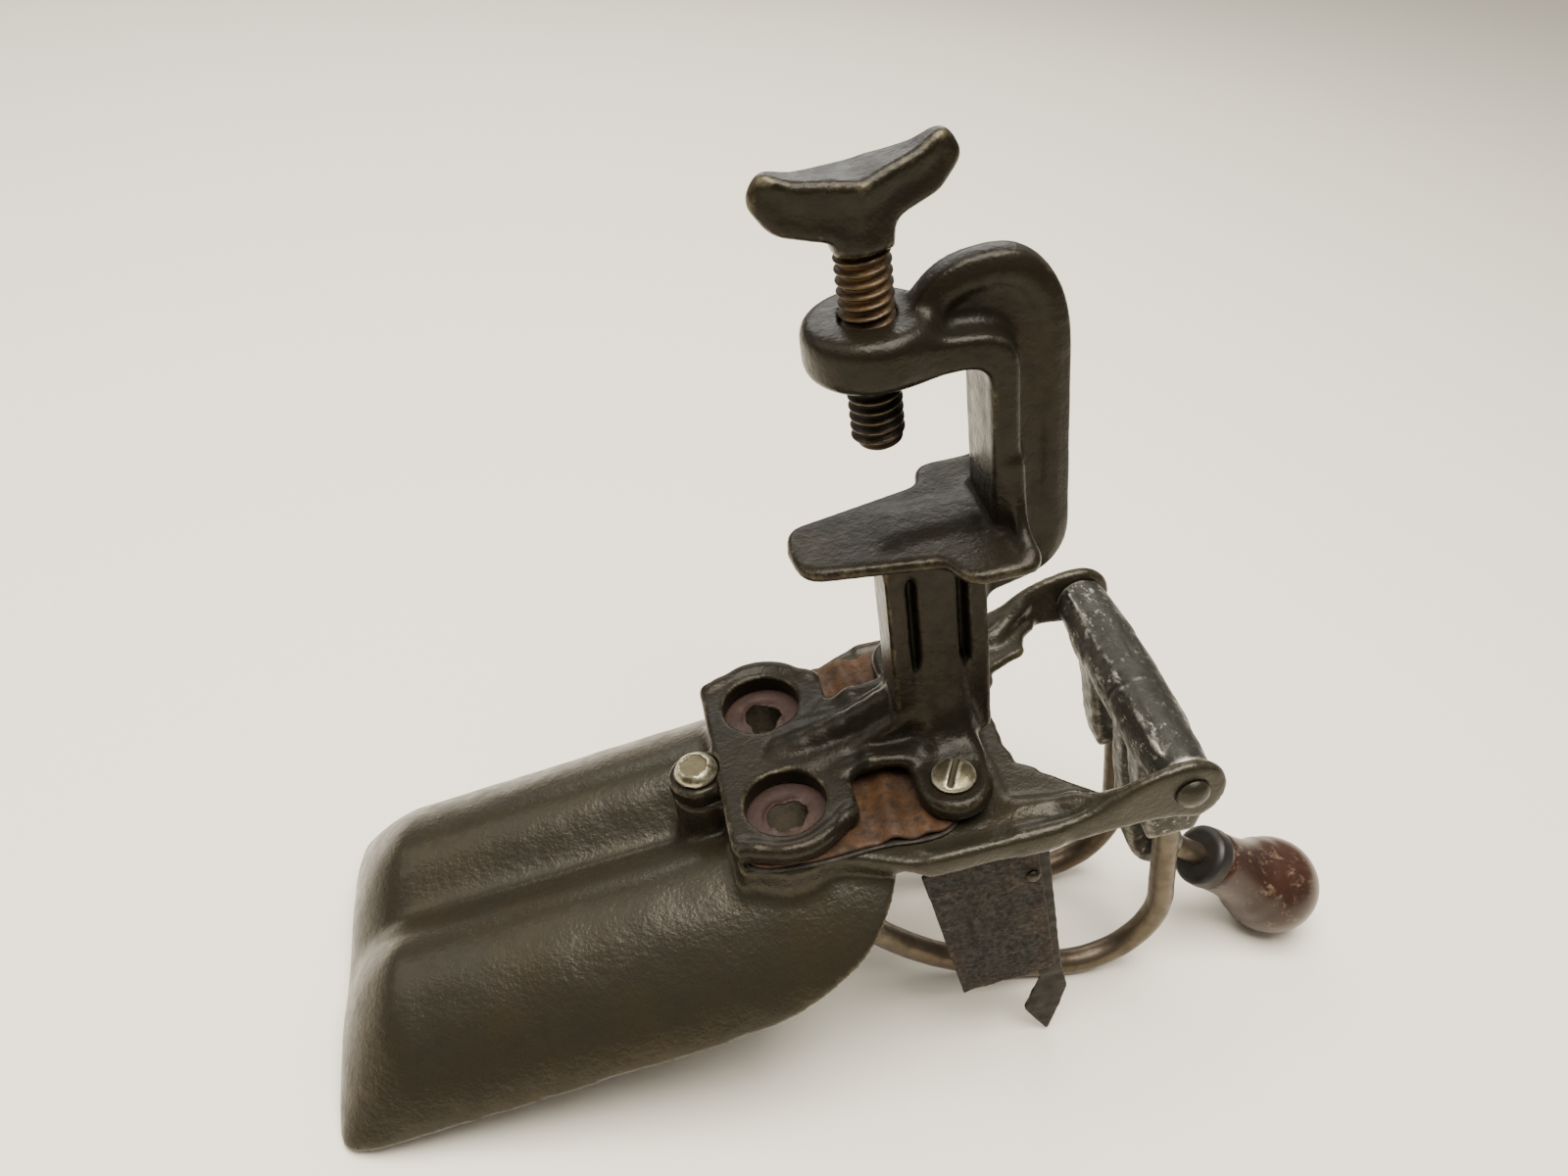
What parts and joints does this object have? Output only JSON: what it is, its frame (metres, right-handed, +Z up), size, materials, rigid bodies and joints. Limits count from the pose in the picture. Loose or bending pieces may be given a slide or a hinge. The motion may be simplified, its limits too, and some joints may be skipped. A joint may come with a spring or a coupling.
{
  "type": "cherry stoner",
  "caption": "Cast-iron table-clamp cherry stoner with a two-channel tray, swinging curved plungers and a wooden knob, stored tray-side down.",
  "frame": {"origin": "middle of the bounding box in X and Y, on the surface the tool lies on", "axes": "+X from the tray's closed end towards the wooden knob, +Y across the tray to its far side, +Z up"},
  "size_m": [0.311, 0.115, 0.2607],
  "materials": {
    "cast_iron": "oiled dark olive-brown casting with a fine grain, worn bright along its edges",
    "cast_sleeve": "paler grey casting, worn and scratched, with seam lines and flaws",
    "screw_steel": "worn steel with brown rust in the thread",
    "rod_steel": "round steel rod with a brown patina",
    "plated_fastener": "plating worn to a dull yellowish grey",
    "tin_plate": "thin tinned plate gone dark brown, rusty and pitted",
    "finger_steel": "dark spring steel, smooth",
    "black_ferrule": "black with a worn rim",
    "leather": "old reddish-brown leather, matte, dark at its edges",
    "backing": "dark grimy under-layer",
    "turned_wood": "dark red-brown varnish, worn off in speckles"
  },
  "bodies": {
    "frame": {"tray_body": "cast_iron", "clamp_bracket": "cast_iron", "plate_bolt": "plated_fastener", "plate_bolt_nut": "screw_steel", "foot_screw_near": "plated_fastener", "foot_screw_far": "plated_fastener", "leather_sheet": "leather", "backing_sheet": "backing", "pivot_rod": "screw_steel", "stripper_plate_near": "tin_plate", "stripper_plate_far": "tin_plate", "stripper_finger_near": "finger_steel", "stripper_finger_far": "finger_steel", "stripper_rivet_near": "screw_steel", "stripper_rivet_far": "screw_steel"},
    "swing": {"swing_hub": "cast_sleeve", "plunger_rod_near": "rod_steel", "plunger_rod_far": "rod_steel", "handle_spindle": "screw_steel", "handle_ferrule": "black_ferrule", "handle_knob": "turned_wood"},
    "screw": {"clamp_screw": "screw_steel"},
    "wing": {"thumb_wing": "cast_iron"}
  },
  "joints": [
    {"name": "lever_swing", "type": "hinge", "parent": "frame", "child": "swing", "pos_m": [0.06533, 0, 0.10695], "axis": [0, 1, 0], "range_deg": [-30, 26]},
    {"name": "screw_travel", "type": "slide", "parent": "frame", "child": "screw", "axis": [-0.2306, 0, 0.973], "range_m": [-0.011, 0.018]},
    {"name": "wing_turn", "type": "hinge", "parent": "screw", "child": "wing", "pos_m": [-0.03366, 0, 0.24278], "axis": [-0.2306, 0, 0.973], "range_deg": [-1524, 2493]}
  ],
  "couplings": [
    {"joint": "wing_turn", "follows": "screw_travel", "rad_per_m": 2416.6}
  ]
}
